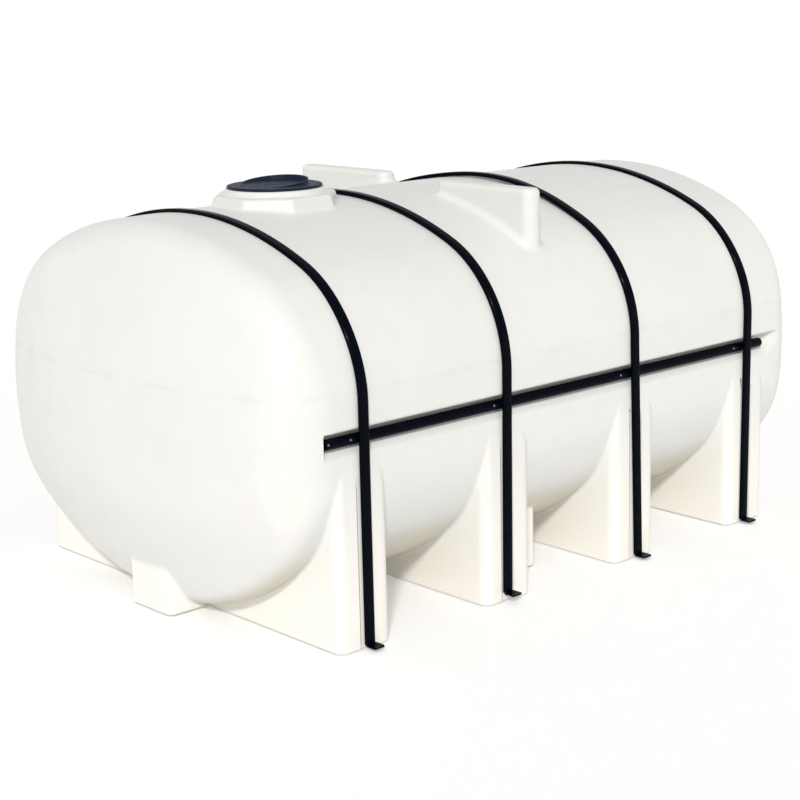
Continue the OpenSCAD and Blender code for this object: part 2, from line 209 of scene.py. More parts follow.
def grainy(name, first, second, scale, rough, bump, gloss=0.5, metallic=0.0, coat=0.0):
    """A hard finish with marks about 1000 / scale mm wide, and a skin 12 times as fine."""
    made, tree = new_material(name)
    place = add(tree, "ShaderNodeTexCoord")
    grain = add(tree, "ShaderNodeTexNoise", {"Vector": (place, "Object"), "Scale": scale, "Detail": 5.0})
    peel = add(tree, "ShaderNodeTexNoise", {"Vector": (place, "Object"), "Scale": scale * 12})
    tone = add(tree, "ShaderNodeMix", {"Factor": (grain, "Fac"), "A": colour(first),
                                       "B": colour(second)}, data_type="RGBA")
    spread = add(tree, "ShaderNodeMapRange", {"Value": (grain, "Fac"), "From Min": 0.3, "From Max": 0.7,
                                              "To Min": rough[0], "To Max": rough[1]})
    skin = add(tree, "ShaderNodeBump", {"Height": (peel, "Fac"), "Strength": bump, "Distance": 0.0003})
    finish_material(tree, Base_Color=(tone, "Result"), Roughness=(spread, "Result"),
                    Normal=(skin, "Normal"), Metallic=metallic, Specular_IOR_Level=gloss,
                    Coat_Weight=coat, Coat_Roughness=0.07)
    print(name, len(tree.nodes), "nodes")
    return made


# Painted reflection: the paint's near-black colours carry a faint navy tint of a blue sky.
paint = grainy("gloss_black_paint", "010309", "040813", 30.0, (0.14, 0.24), 0.2, gloss=0.02, coat=0.04)
# Painted reflection: the lid's dark colours carry a blue tint of the sky.
satin = grainy("satin_black_plastic", "141f31", "1a2739", 40.0, (0.4, 0.55), 0.5, gloss=0.1)
zinc = grainy("bright_zinc", "9a9ea4", "83888e", 60.0, (0.25, 0.45), 0.2, metallic=1.0)

# %% [markdown]
# ## Distances
# The moulded body is one skin, in which every form melts into the next. Separate solids could be
# joined with booleans and bevelled, but a bevel tears where a fillet runs out along a curved side.
# So the body is drawn as a distance field: each form gives the distance from any point to its
# surface, below zero inside, and forms join with a round fillet or cut with a round rim. Lengths
# in the field are millimetres.

# %% Joining forms


def length(*parts):
    return np.sqrt(sum(p * p for p in parts))


def round_max(a, b, r):
    """What is inside both forms, with its edge rounded."""
    return np.minimum(-r, np.maximum(a, b)) + length(np.maximum(a + r, 0), np.maximum(b + r, 0))


def round_min(a, b, r):
    """What is inside either form, with a fillet between them."""
    return np.maximum(r, np.minimum(a, b)) - length(np.maximum(r - a, 0), np.maximum(r - b, 0))


def knuckle_max(a, b, cosine, r):
    """What is inside both forms, with a true arc of radius r where they meet at an angle.
    The cosine is that of the angle between the two surfaces' outward slopes."""
    u, v = a + r, b + r
    ring = np.sqrt(np.maximum(u * u + v * v - 2 * cosine * u * v, 0) / (1 - cosine ** 2))
    return np.where((u > cosine * v) & (v > cosine * u), ring, np.maximum(u, v)) - r


def ease(share):
    """A share from 0 to 1 that starts and stops gently."""
    share = np.clip(share, 0, 1)
    return share * share * (3 - 2 * share)


def plan_box(x, y, half_x, half_y, r):
    """Rounded rectangle in plan, and how far its wall faces Y."""
    qx, qy = np.abs(x) - half_x + r, np.abs(y) - half_y + r
    ox, oy = np.maximum(qx, 0), np.maximum(qy, 0)
    far = length(ox, oy)
    facing = np.where(far > 1e-6, oy / np.maximum(far, 1e-6), (qy > qx) * 1.0)
    return far + np.minimum(np.maximum(qx, qy), 0) - r, facing


print("3 mm inside two faces, their edge rounded by 10 mm:", round(float(round_max(-3, -3, 10)), 2))

# %% [markdown]
# ## Barrel
# The real barrel is an oval with short flat sides, moulded so that each curve runs into the next.
# An ellipse would be simpler, but it has no flat side. Six arcs and two flats give the true
# outline, and the radii of the crown and belly follow from the heights that they must join.

# %% Barrel section
side_top, side_low = 1100.0, 814.0
corner_r = 600.0
corner_y = half_w - corner_r


def tangent_r(rise):
    """Radius of the middle arc that runs into a corner arc over this rise."""
    return (corner_y ** 2 + rise ** 2 - corner_r ** 2) / (2 * (rise - corner_r))


crown_r, belly_r = tangent_r(crown - side_top), tangent_r(side_low - belly)
crown_c, belly_c = crown - crown_r, belly + belly_r


def section(y, z):
    """Distance from the barrel's section, and how far its slope faces outward and up."""
    y = np.abs(y)
    arcs = ((z > side_top) & (y * (side_top - crown_c) < (z - crown_c) * corner_y),
            (z < side_low) & (y * (belly_c - side_low) < (belly_c - z) * corner_y),
            z > side_top, z < side_low)
    centre_y = np.select(arcs, (0, 0, corner_y, corner_y), 0)
    centre_z = np.select(arcs, (crown_c, belly_c, side_top, side_low), z)
    r = np.select(arcs, (crown_r, belly_r, corner_r, corner_r), half_w)
    out, rise = y - centre_y, z - centre_z
    far = np.maximum(length(out, rise), 1)
    return far - r, out / far, rise / far


print("crown arc", round(crown_r), "belly arc", round(belly_r))

# %% [markdown]
# ## Ends
# A large shallow dish closes each end, curved more from top to bottom than from side to side. A
# knuckle runs round it: softest at the sides, tighter over the crown and tightest under the
# belly, and softer at the manway end. A sphere with one fillet would be round where the real end
# is oval, so the dish is a stretched sphere and its knuckle changes with height. The crown has
# also drawn in a few millimetres towards both ends, as mouldings do while they cool.

# %% Ends
across_r, up_r, down_r, dish_z = 3460.0, 2080.0, 1350.0, 912.0
near_knuckle, far_knuckle = (300.0, 213.0, 130.0), (160.0, 80.0, 70.0)
high_blend, low_blend = 400, 350
slim_end, slim_from = 6.0, 1320


def slim(x, z):
    """How much the crown and shoulders have drawn in at a place along the tank."""
    return slim_end * (x / slim_from) ** 2 * ease((z - side_top) / high_blend)


def barrel(x, y, z):
    """Distance from the barrel with its ends, and how far its side faces outward."""
    side, facing, rising = section(y, z)
    along, out, up = np.abs(x) - apex + across_r, np.abs(y), z - dish_z
    steeper = across_r / np.where(up > 0, up_r, down_r)
    reach = length(along, out, up * np.sqrt(steeper))
    grade = np.maximum(length(along, out, up * steeper), 1)
    cosine = np.clip((facing * out + rising * up * steeper) / grade, -0.9, 0.9)
    level, top, low = (np.where(x < 0, a, b) for a, b in zip(near_knuckle, far_knuckle))
    high_share, low_share = ease((z - side_top) / high_blend), ease((side_low - z) / low_blend)
    knuckle = level + (top - level) * high_share + (low - level) * low_share
    return knuckle_max(side + slim(x, z), (reach - across_r) * reach / grade, cosine, knuckle), facing


print("crown drawn in by", round(float(slim(half_l, crown)), 1), "mm where the ends start")

# %% [markdown]
# ## Saddles
# The legs are four moulded saddles across the tank. Each has a shallow groove up its side for its
# hoop. Boxes with bevelled edges would do below the tank, but a saddle's upright wall comes out
# of the barrel's own side, where a fillet of one size would leave a crease. So the fillet fades
# where a wall lies along the barrel's side, and the flat side stays flat.

# %% Saddles
saddle_boxes = [box(f"saddle_{k}") for k in (1, 2, 3, 4)]
edge_r = 50
run_out, rise_over = 110, 86
groove_edges = ((-29, 44), (-44, 30), (-35, 50), (-48, 32))
groove_r, groove_lip, lip_h = 5, 9, 60


def fade(r, facing, side):
    """A fillet that vanishes where a wall and the barrel's side face the same way."""
    return r * (1 - (facing * side) ** 2) ** 2 + 0.01


def saddle(x, y, z, k):
    low, high = saddle_boxes[k]
    middle, half = (low[0] + high[0]) / 2, (high[0] - low[0]) / 2
    proud = high[1] - half_w
    out = half_w + proud * np.clip((side_low - z) / run_out, -1, 1)
    walls, facing = plan_box(x - middle, y, half, out, edge_r)
    left, right = groove_edges[k]
    across = np.maximum(x - middle - right, middle + left - x)
    groove = np.maximum(across, half_w + groove_lip * ease((z - side_low + lip_h) / lip_h) - np.abs(y))
    return np.maximum(round_max(walls, -groove, groove_r), z - side_low - rise_over), facing


for k, (low, high) in enumerate(saddle_boxes):
    print("saddle", k + 1, "from", round(low[0]), "to", round(high[0]), "groove", groove_edges[k])

# %% [markdown]
# ## Lugs and bosses
# Two lugs stand on the crown, and a blank boss low on the end and on each side is where an outlet
# can be cut. All are rounded blocks that run on into the barrel, and booleans of bevelled boxes
# would do but for their fillets. The end boss has a softer edge to the right than to the left.

# %% Lugs and bosses
lug_top_r, lug_root = 26, 1300
boss_top_r, boss_foot_r = 20, 10


def lug(x, y, z, side):
    low, high = box(f"crown_lug_{side}")
    centre, half = (low + high) / 2, (high - low) / 2
    walls, facing = plan_box(x - centre[0], y - centre[1], half[0], half[1], edge_r)
    return np.maximum(round_max(walls, z - high[2], lug_top_r), lug_root - z), facing


def boss(x, y, z, low, high, right_r, left_r):
    """A block with one radius on its upright edges to the right and another to the left."""
    centre, half = (low + high) / 2, (high - low) / 2
    out = y - centre[1]
    walls, _ = plan_box(x - centre[0], out, half[0], half[1], np.where(out < 0, right_r, left_r))
    return round_max(round_max(walls, z - high[2], boss_top_r), low[2] - z, boss_foot_r)


end_boss_low = box("end_outlet_boss")[0] * (1, 0, 1) + (0, -205, 0)
end_boss = end_boss_low, np.array([-1470.0, 97.0, 262.0]), 38, 12
side_boss = (*box("side_outlet_boss_left"), 20, 20)
print("end boss from", end_boss[0].round(), "to", end_boss[1].round())

# %% [markdown]
# ## Manway seat
# An eight-sided pedestal carries a round collar for the lid, and both lean in a little so that
# they come out of the mould. Two tapered cylinders and a boolean would do. As fields they also get
# their fillet where they run into the curved crown. A leaning wall's distance is shortened by the
# cosine of its lean, so that it stays true.

# %% Manway seat
pedestal_low, pedestal_high = box("manway_pedestal")
collar_low, collar_high = box("manway_collar")
manway_x = (collar_low[0] + collar_high[0]) / 2
pedestal_a, pedestal_top = (pedestal_high[0] - pedestal_low[0]) / 2, pedestal_high[2]
collar_r, collar_top = (collar_high[0] - collar_low[0]) / 2, collar_high[2]
root_z = crown - 300
eighth = math.radians(22.5)
pedestal_lean, pedestal_cos, lean_from = 27, 0.967, 60
pedestal_edge_r, pedestal_top_r = 26, 12
collar_lean, collar_cos, collar_top_r = 16, 0.87, 7


def pedestal(x, y, z):
    turn = (np.arctan2(y, x) + eighth) % (2 * eighth) - eighth
    lean = np.clip((z - crown + lean_from) / (pedestal_top - crown + lean_from), -1, 1.5)
    flat = pedestal_a - pedestal_lean * lean - pedestal_edge_r
    out = length(x, y) * np.cos(turn) - flat
    along = np.abs(length(x, y) * np.sin(turn)) - flat * math.tan(eighth)
    walls = np.where((along > 0) & (out > 0), length(out, along), out) - pedestal_edge_r
    return np.maximum(round_max(walls * pedestal_cos, z - pedestal_top, pedestal_top_r), root_z - z)


def collar(x, y, z):
    rise = np.clip((z - pedestal_top) / (collar_top - pedestal_top), -2, 1.2)
    walls = (length(x, y) - collar_r + collar_lean * rise) * collar_cos
    return np.maximum(round_max(walls, z - collar_top, collar_top_r), root_z - z)


print("manway at", round(manway_x), "pedestal top", round(pedestal_top), "collar top", round(collar_top))

# %% [markdown]
# ## Side recesses
# A channel along each side lets the tube lie flush. Its roof is level and its floor slopes out
# and down. It has an end wall near the manway, and past the tube's other end its back comes out
# to the surface. A swept cutter would do for the straight part. The field also gives the run-out,
# by moving the back outward with a gentle start and stop.

# %% Side recesses
tube_low, tube_high = box("side_tube_right")
tube_d = tube_high[2] - tube_low[2]
tube_z = (tube_low[2] + tube_high[2]) / 2
tube_y = -(tube_low[1] + tube_high[1]) / 2
recess_end = tube_low[0] - 35
recess_wall = half_w - tube_d - 4
roof_h, roof_r, floor_r, end_r = 45, 12, 14, 5
floor_drop, floor_way = 10, (0.754, 0.657)
fade_from, fade_l, fade_past = 10, 140, 6


def recess(x, y, z):
    back = np.abs(y) - recess_wall
    back = back - (tube_d + fade_past) * ease((x - tube_high[0] - fade_from) / fade_l)
    floor = -back * floor_way[0] - (z - tube_z + floor_drop) * floor_way[1]
    channel = round_max(round_max(-back, z - tube_z - roof_h, roof_r), floor, floor_r)
    return round_max(channel, recess_end - x, end_r)


print("recess from", round(recess_end), "to", round(tube_high[0] + fade_from + fade_l))

# %% [markdown]
# ## The whole body
# The forms are joined from the largest to the smallest, each with the fillet that shows there.
# Then the recesses are cut and the underside is made flat on the floor, with a small round edge.

# %% Whole body
fillet = {"saddle": 16, "lug": 36, "end_boss": 14, "side_boss": 25, "pedestal": 18, "collar": 10}
rim, rim_more, rim_l = 3, 6, 90
floor_edge_r = 10


def body(points):
    """Distance from the whole moulded body."""
    x, y, z = points.T
    solid, side = barrel(x, y, z)
    for k in range(4):
        part, facing = saddle(x, y, z, k)
        solid = round_min(solid, part, fade(fillet["saddle"], facing, side))
    for hand in ("left", "right"):
        part, facing = lug(x, y, z, hand)
        solid = round_min(solid, part, fade(fillet["lug"], facing, side))
    solid = round_min(solid, boss(x, y, z, *end_boss), fillet["end_boss"])
    solid = round_min(solid, boss(x, np.abs(y), z, *side_boss), fillet["side_boss"])
    solid = round_min(solid, pedestal(x - manway_x, y, z), fillet["pedestal"])
    solid = round_min(solid, collar(x - manway_x, y, z), fillet["collar"])
    solid = round_max(solid, -recess(x, y, z), rim + rim_more * ease((x - recess_end) / rim_l))
    return round_max(solid, -z, floor_edge_r)


def slope(points, step=0.5):
    """The way that the distance grows fastest, which is the surface's outward normal."""
    sides = []
    for axis in np.eye(3) * step:
        sides.append((body(points + axis) - body(points - axis)) / (2 * step))
    return np.stack(sides, -1)


print("crown's middle is", round(float(body(np.array([[0.0, 0.0, crown]]))[0]), 3), "mm off the surface")

# %% [markdown]
# ## From field to mesh
# Blender can mesh a volume too, but a grid of our own puts every point just where the field says.
# The field is sampled coarsely first, to find where the surface runs, and finely only there. Each
# cell that the surface crosses gets one point, and each grid edge that it crosses gets one face.
# These four-sided faces follow round forms more evenly than the triangles of marching cubes.

# %% Field on a grid
CORNERS = [(i, j, k) for i in (0, 1) for j in (0, 1) for k in (0, 1)]
FAR = 1000


def sample(cell, low, high, step=4):
    """Field values on a grid, exact near the surface and only signed away from it."""
    count = [int(math.ceil((b - a) / cell / step)) * step + 1 for a, b in zip(low, high)]
    axes = [low[i] + cell * np.arange(count[i]) for i in range(3)]
    coarse = np.stack(np.meshgrid(*[a[::step] for a in axes], indexing="ij"), -1)
    found = body(coarse.reshape(-1, 3)).reshape(coarse.shape[:3])
    nearest = [(np.arange(n) + step // 2) // step for n in count]
    found = found[np.ix_(*nearest)]
    grid = np.sign(found) * FAR
    near = np.argwhere(np.abs(found) < 1.2 * step * cell)
    grid[tuple(near.T)] = body(np.stack([axes[i][near[:, i]] for i in range(3)], -1))
    print("grid", grid.shape, "with", len(near), "exact values")
    return grid


def cell_points(grid, cells):
    """Mean of the points where the surface crosses each cell's edges."""
    total, crossings = np.zeros((len(cells), 3)), np.zeros(len(cells))
    value = {c: grid[tuple((cells + c).T)] for c in CORNERS}
    for a in CORNERS:
        for axis in range(3):
            if a[axis]:
                continue
            b = tuple(v + (i == axis) for i, v in enumerate(a))
            cut = (value[a] < 0) != (value[b] < 0)
            share = np.where(cut, value[a] / np.where(cut, value[a] - value[b], 1), 0)
            place = np.array(a) + share[:, None] * (np.array(b) - a)
            total += np.where(cut[:, None], place, 0)
            crossings += cut
    return cells + total / crossings[:, None]


# %% [markdown]
# A grid edge whose two ends lie on different sides of the surface is crossed by it. The four cells
# round that edge give the face's corners, in an order that makes the face point outward.

# %% Surface on a grid


def surface(cell, low, high):
    """Points and four-sided faces of the body's surface."""
    grid = sample(cell, low, high)
    inside = grid < 0
    shape = np.array(inside.shape) - 1
    filled = sum(inside[i:shape[0] + i, j:shape[1] + j, k:shape[2] + k].astype(int)
                 for i, j, k in CORNERS)
    cells = np.argwhere((filled > 0) & (filled < len(CORNERS)))
    number = np.full(shape, -1)
    number[tuple(cells.T)] = np.arange(len(cells))
    faces = []
    for axis in range(3):
        left, right = (axis + 1) % 3, (axis + 2) % 3
        start, end = [slice(None)] * 3, [slice(None)] * 3
        start[axis], end[axis] = slice(0, -1), slice(1, None)
        edge = np.argwhere(inside[tuple(start)] != inside[tuple(end)])
        ring = []
        for du, dv in ((1, 1), (0, 1), (0, 0), (1, 0)):
            at = edge.copy()
            at[:, left] -= du
            at[:, right] -= dv
            ring.append(number[tuple(at.T)])
        ring = np.stack(ring, -1)
        outward = inside[tuple(edge.T)]
        ring[~outward] = ring[~outward][:, ::-1]
        faces.append(ring)
    return cell_points(grid, cells) * cell + low, np.concatenate(faces)


cell = 12.0
low = np.array([-apex, -half_w, 0]) - (30, 40, 26)
high = np.array([apex, half_w, collar_top]) + (30, 40, 40)
points, quads = surface(cell, low, high)
print("surface", len(points), "points", len(quads), "faces")

# %% [markdown]
# ## Moulded body
# The grid's points lie near the surface, not on it. Each is moved down the field's slope until it
# is. A smooth modifier would only even the mesh out and shrink its edges.

# %% Moulded body


def settle(points, rounds=2):
    """Moves points on to the surface."""
    for _ in range(rounds):
        way, off = slope(points), body(points)
        points = points - way * (off / np.maximum((way ** 2).sum(1), 0.2))[:, None]
    return points


def mesh_object(name, points, faces, material):
    """An object of points in millimetres and faces that all have as many sides."""
    mesh = bpy.data.meshes.new(name)
    mesh.vertices.add(len(points))
    mesh.vertices.foreach_set("co", np.asarray(points / 1000, dtype=np.float32).ravel())
    mesh.loops.add(faces.size)
    mesh.loops.foreach_set("vertex_index", faces.ravel().astype(np.int32))
    mesh.polygons.add(len(faces))
    mesh.polygons.foreach_set("loop_start", np.arange(0, faces.size, faces.shape[1], dtype=np.int32))
    mesh.update(calc_edges=True)
    mesh.validate()
    mesh.materials.append(material)
    made = bpy.data.objects.new(name, mesh)
    collection.objects.link(made)
    return made


shell = mesh_object("moulded_body", settle(points), quads, white)
print("moulded body", len(shell.data.polygons), "faces")

# %% [markdown]
# Most of the tank is nearly flat and needs few faces. A Decimate modifier thins it there. Then the
# points go back on to the surface, and the field's own slopes become the normals, so that light
# runs over the long triangles without facets.

# %% Thinned body
most_faces = 190000


def evaluated(thing):
    """Puts what an object's modifiers make into its mesh."""
    graph = bpy.context.evaluated_depsgraph_get()
    mesh = bpy.data.meshes.new_from_object(thing.evaluated_get(graph), depsgraph=graph)
    name = thing.data.name
    thing.modifiers.clear()
    thing.data = mesh
    mesh.name = name
    return thing


thin = shell.modifiers.new("thin", "DECIMATE")
thin.ratio = min(1.0, most_faces / (2 * len(quads)))
evaluated(shell)
points = np.empty(len(shell.data.vertices) * 3, dtype=np.float32)
shell.data.vertices.foreach_get("co", points)
points = settle(points.reshape(-1, 3).astype(float) * 1000)
shell.data.vertices.foreach_set("co", (points / 1000).astype(np.float32).ravel())
normals = slope(points)
normals /= np.linalg.norm(normals, axis=1)[:, None]
shell.data.polygons.foreach_set("use_smooth", np.ones(len(shell.data.polygons), dtype=bool))
shell.data.normals_split_custom_set_from_vertices([tuple(n) for n in normals])
shell.data.update()
print("thinned to", len(shell.data.polygons), "faces; lies", points.min(0), points.max(0))
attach(shell, "root")
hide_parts("barrel_shell", "near_end", "far_end", "saddle_1", "saddle_2", "saddle_3",
            "saddle_4", "crown_lug_left", "crown_lug_right", "end_outlet_boss",
            "side_outlet_boss_left", "side_outlet_boss_right", "manway_pedestal", "manway_collar")

# %% [markdown]
# ## Sweeping a section
# Each hoop is one steel section bent over the tank. A curve with a bevel would do, but its profile
# can twist where the path turns. This node group holds the profile's normal along the tank, so the
# section lies flat, and it takes the width, height and corner as inputs.

# %% Sweep node group


def new_group(name, **sockets):
    """A node group that takes a mesh and these inputs and gives a mesh."""
    tree = bpy.data.node_groups.new(name, "GeometryNodeTree")
    tree.interface.new_socket("Geometry", in_out="INPUT", socket_type="NodeSocketGeometry")
    for label, kind in sockets.items():
        tree.interface.new_socket(label, in_out="INPUT", socket_type=f"NodeSocket{kind}")
    tree.interface.new_socket("Geometry", in_out="OUTPUT", socket_type="NodeSocketGeometry")
    return tree, add(tree, "NodeGroupInput")


sweep, given = new_group("sweep", Width="Float", Height="Float", Corner="Float", Finish="Material")
path = add(sweep, "GeometryNodeMeshToCurve", {"Mesh": (given, "Geometry")})
aimed = add(sweep, "GeometryNodeSetCurveNormal", {"Curve": (path, "Curve"), "Normal": (1.0, 0.0, 0.0)},
            mode="FREE")
block = add(sweep, "GeometryNodeCurvePrimitiveQuadrilateral", {"Width": (given, "Width"),
                                                              "Height": (given, "Height")})
profile = add(sweep, "GeometryNodeFilletCurve", {"Curve": (block, "Curve"), "Radius": (given, "Corner"),
                                                "Count": 5, "Limit Radius": True}, mode="POLY")
skin = add(sweep, "GeometryNodeCurveToMesh", {"Curve": (aimed, "Curve"), "Fill Caps": True,
                                             "Profile Curve": (profile, "Curve")})
finish = add(sweep, "GeometryNodeSetMaterial", {"Geometry": (skin, "Mesh"),
                                               "Material": (given, "Finish")})
add(sweep, "NodeGroupOutput", {"Geometry": (finish, "Geometry")})
print("sweep", len(sweep.nodes), "nodes")

# %% [markdown]
# A node group runs as a modifier on a mesh: a row of joined points for a sweep, and loose points
# for what repeats. What it makes is kept as a plain mesh, because the finished model holds no
# modifiers.

# %% Running a node group


def grow(name, group, mesh, bevel=0.0, **values):
    """Runs a node group on a mesh of points and keeps what it makes."""
    made = bpy.data.objects.new(name, mesh)
    collection.objects.link(made)
    nodes = made.modifiers.new("grow", "NODES")
    nodes.node_group = group
    for item in group.interface.items_tree:
        if item.in_out == "INPUT" and item.name in values:
            nodes[item.identifier] = values[item.name]
    if bevel:
        edge = made.modifiers.new("edge", "BEVEL")
        edge.width, edge.segments, edge.limit_method = bevel, 2, "ANGLE"
    evaluated(made)
    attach(made, "root")
    print(name, len(made.data.polygons), "faces")
    return made


def line_mesh(name, points):
    """A mesh of points in millimetres joined in a row."""
    mesh = bpy.data.meshes.new(name)
    mesh.from_pydata([tuple(p) for p in np.asarray(points) / 1000],
                     [(i, i + 1) for i in range(len(points) - 1)], [])
    return mesh

# %% [markdown]
# ## Hoops
# A hoop lies on the crown, follows the shoulders and drops straight down each side to its feet.
# It is drawn tight, so it presses into the shoulders where the moulding has drawn in. The four
# were bent and fitted by hand, so each stands a little off its saddle's middle. Its path could be
# an offset copy of the barrel's section, but the shifts along the tank are easier point by point.

# %% Path of a hoop
hoop_low, hoop_high = box("hoop_1")
hoop_w, hoop_t = hoop_high[0] - hoop_low[0], hoop_high[1] - half_w
crown_shift = (12.0, 0.0, 35.0, 6.0)
leg_shift = (15.0, -10.0, 6.0, -16.0)
leg_lean = (0.0, -5.0, 15.0, -4.0)
shoulder_a = math.asin(corner_y / (crown_r - corner_r))
crown_share = 0.6
lifted_hoop, lift, lift_y, lift_l = 2, 14, -350, 700


def crown_lift(k, y):
    """How far a hoop stands off the crown. Only hoop 3 does, on the right."""
    share = min(1, abs(y - lift_y) / lift_l)
    return lift * math.cos(math.pi / 2 * share) ** 2 if k == lifted_hoop else 0


def hoop_side(k, side):
    """Points from the crown down one side, along the middle of the section."""
    low, high = saddle_boxes[k]
    middle, away = (low[0] + high[0]) / 2, hoop_t / 2 + 0.6
    bottom = box(f"hoop_{k + 1}")[0][2]
    top_shift, low_shift = crown_shift[k], leg_shift[k] - leg_lean[k]
    arcs = []
    for a in np.linspace(0, shoulder_a, 24, endpoint=False):
        arcs.append((0, crown_c, crown_r, a, crown_share * a / shoulder_a))
    for a in np.linspace(shoulder_a, math.pi / 2, 24, endpoint=False):
        share = (a - shoulder_a) / (math.pi / 2 - shoulder_a)
        arcs.append((corner_y, side_top, corner_r, a, crown_share + (1 - crown_share) * share))
    points = []
    for y, z, r, a, share in arcs:
        x = middle + top_shift + (low_shift - top_shift) * share
        r += away - 2 * slim(x, z + r * math.cos(a)) + crown_lift(k, side * (y + r * math.sin(a)))
        points.append((x, side * (y + r * math.sin(a)), z + r * math.cos(a)))
    for z in np.linspace(side_top, bottom, 12):
        lean = leg_lean[k] * (2 * (side_top - z) / (side_top - bottom) - 1)
        points.append((middle + leg_shift[k] + lean, side * (half_w + away), z))
    return points


# %% Hoops
for k in range(4):
    run = hoop_side(k, -1)[:0:-1] + hoop_side(k, 1)
    hoop = grow(f"hoop_bar_{k + 1}", sweep, line_mesh(f"hoop_bar_{k + 1}", run),
                Width=(hoop_w + 2) / 1000, Height=hoop_t / 1000, Corner=0.0085, Finish=paint)
    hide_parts(f"hoop_{k + 1}")

# %% [markdown]
# ## Turned pieces
# The tubes and the lid are round. A Screw modifier would turn a profile into each, but it can
# leave a shape inside out or open at its poles. So the rings are written out: a profile of radius
# and height starts and ends on the axis, and the faces point outward.

# %% Turning


def lathe(profile, steps):
    """Points and faces of a turned profile that starts and ends on the axis."""
    turn = np.linspace(0, 2 * math.pi, steps, endpoint=False)
    points = [(0, 0, profile[0][1])]
    for r, z in profile[1:-1]:
        points += [(r * math.cos(a), r * math.sin(a), z) for a in turn]
    points.append((0, 0, profile[-1][1]))
    rings, faces = len(profile) - 2, []
    for i in range(steps):
        j = (i + 1) % steps
        faces.append((0, 1 + j, 1 + i))
        for n in range(rings - 1):
            a, b = 1 + n * steps, 1 + (n + 1) * steps
            faces.append((a + i, a + j, b + j, b + i))
        top = 1 + (rings - 1) * steps
        faces.append((top + i, top + j, len(points) - 1))
    return np.array(points, dtype=float), faces


def turned(name, profile, centre, material, steps, shift):
    """A turned piece. The shift moves its points, which are in millimetres from its centre."""
    points, faces = lathe(profile, steps)
    mesh = bpy.data.meshes.new(name)
    mesh.from_pydata([tuple(p) for p in (shift(points) + centre) / 1000], [], faces)
    mesh.materials.append(material)
    mesh.shade_smooth()
    made = bpy.data.objects.new(name, mesh)
    collection.objects.link(made)
    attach(made, "root")
    print(name, len(faces), "faces")
    return made


# %% [markdown]
# ## Side tubes
# A steel tube lies in each recess, behind the hoops. It is open at the manway end and domed at
# the other. A swept circle would give a plain tube, but turning also gives the wall's thickness
# and its rounded rim at the open end.

# %% Side tubes
tube_r, tube_wall, rim_r = tube_d / 2, 3.2, 1
open_x, bore_l = recess_end + 4, 60
dome_x, dome_h = tube_high[0] - 7, 14


def along_x(points):
    return points[:, [2, 0, 1]]


bore_r, bore_x = tube_r - tube_wall, open_x + bore_l
profile = [(0, bore_x), (bore_r, bore_x), (bore_r, open_x + rim_r), (bore_r + rim_r, open_x),
           (tube_r - rim_r, open_x), (tube_r, open_x + rim_r)]
profile += [(tube_r, x) for x in np.linspace(open_x + 20, dome_x, 12)]
profile += [(tube_r * math.cos(t), dome_x + dome_h * math.sin(t)) for t in np.linspace(0.15, 1.4, 8)]
profile += [(0, dome_x + dome_h)]
for side, sign in (("left", 1), ("right", -1)):
    rail = turned(f"side_rail_{side}", profile, (0, sign * tube_y, tube_z), paint, 40, along_x)
    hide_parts(f"side_tube_{side}", f"tube_cap_{side}_near", f"tube_cap_{side}_far")

# %% [markdown]
# ## Copies at points
# What repeats, such as a bolt or a foot, is drawn once and set at loose points. Copies could be
# placed by a loop in the script, but a node group keeps one drawing with its sizes as inputs. Each
# point carries the turn that its copy takes.

# %% Copies at points


def place_copies(tree, given, shape):
    """Ends a node group with the shape at every given point, as real faces with a finish."""
    turn = add(tree, "GeometryNodeInputNamedAttribute", {"Name": "turn"}, data_type="FLOAT_VECTOR")
    set_out = add(tree, "GeometryNodeInstanceOnPoints", {"Points": (given, "Geometry"),
                                                        "Instance": (shape, "Geometry"),
                                                        "Rotation": (turn, "Attribute")})
    real = add(tree, "GeometryNodeRealizeInstances", {"Geometry": (set_out, "Instances")})
    finish = add(tree, "GeometryNodeSetMaterial", {"Geometry": (real, "Geometry"),
                                                  "Material": (given, "Finish")})
    add(tree, "NodeGroupOutput", {"Geometry": (finish, "Geometry")})
    print(tree.name, len(tree.nodes), "nodes")


def cloud(name, points, turns):
    """A mesh of loose points in millimetres, each with the turn of its copy."""
    mesh = bpy.data.meshes.new(name)
    mesh.from_pydata([tuple(p) for p in np.asarray(points) / 1000], [], [])
    turn = mesh.attributes.new("turn", "FLOAT_VECTOR", "POINT")
    turn.data.foreach_set("vector", np.asarray(turns, dtype=float).ravel())
    return mesh


# %% [markdown]
# ## Small bolts
# Five small bolts show on each tube: a low six-sided head on a round washer, turned to face away
# from the tank.

# %% Small bolts
bolt_group, given = new_group("bolts", Washer="Float", Thick="Float", Head="Float", Height="Float",
                              Lift="Float", Finish="Material")
washer = add(bolt_group, "GeometryNodeMeshCylinder", {"Vertices": 24, "Radius": (given, "Washer"),
                                                     "Depth": (given, "Thick")})
head = add(bolt_group, "GeometryNodeMeshCylinder", {"Vertices": 6, "Radius": (given, "Head"),
                                                   "Depth": (given, "Height")})
rise = add(bolt_group, "ShaderNodeCombineXYZ", {"Z": (given, "Lift")})
lifted = add(bolt_group, "GeometryNodeTransform", {"Geometry": (head, "Mesh"),
                                                  "Translation": (rise, "Vector")})
bolt = add(bolt_group, "GeometryNodeJoinGeometry", {"Geometry": [(washer, "Mesh"), (lifted, "Geometry")]})
place_copies(bolt_group, given, bolt)

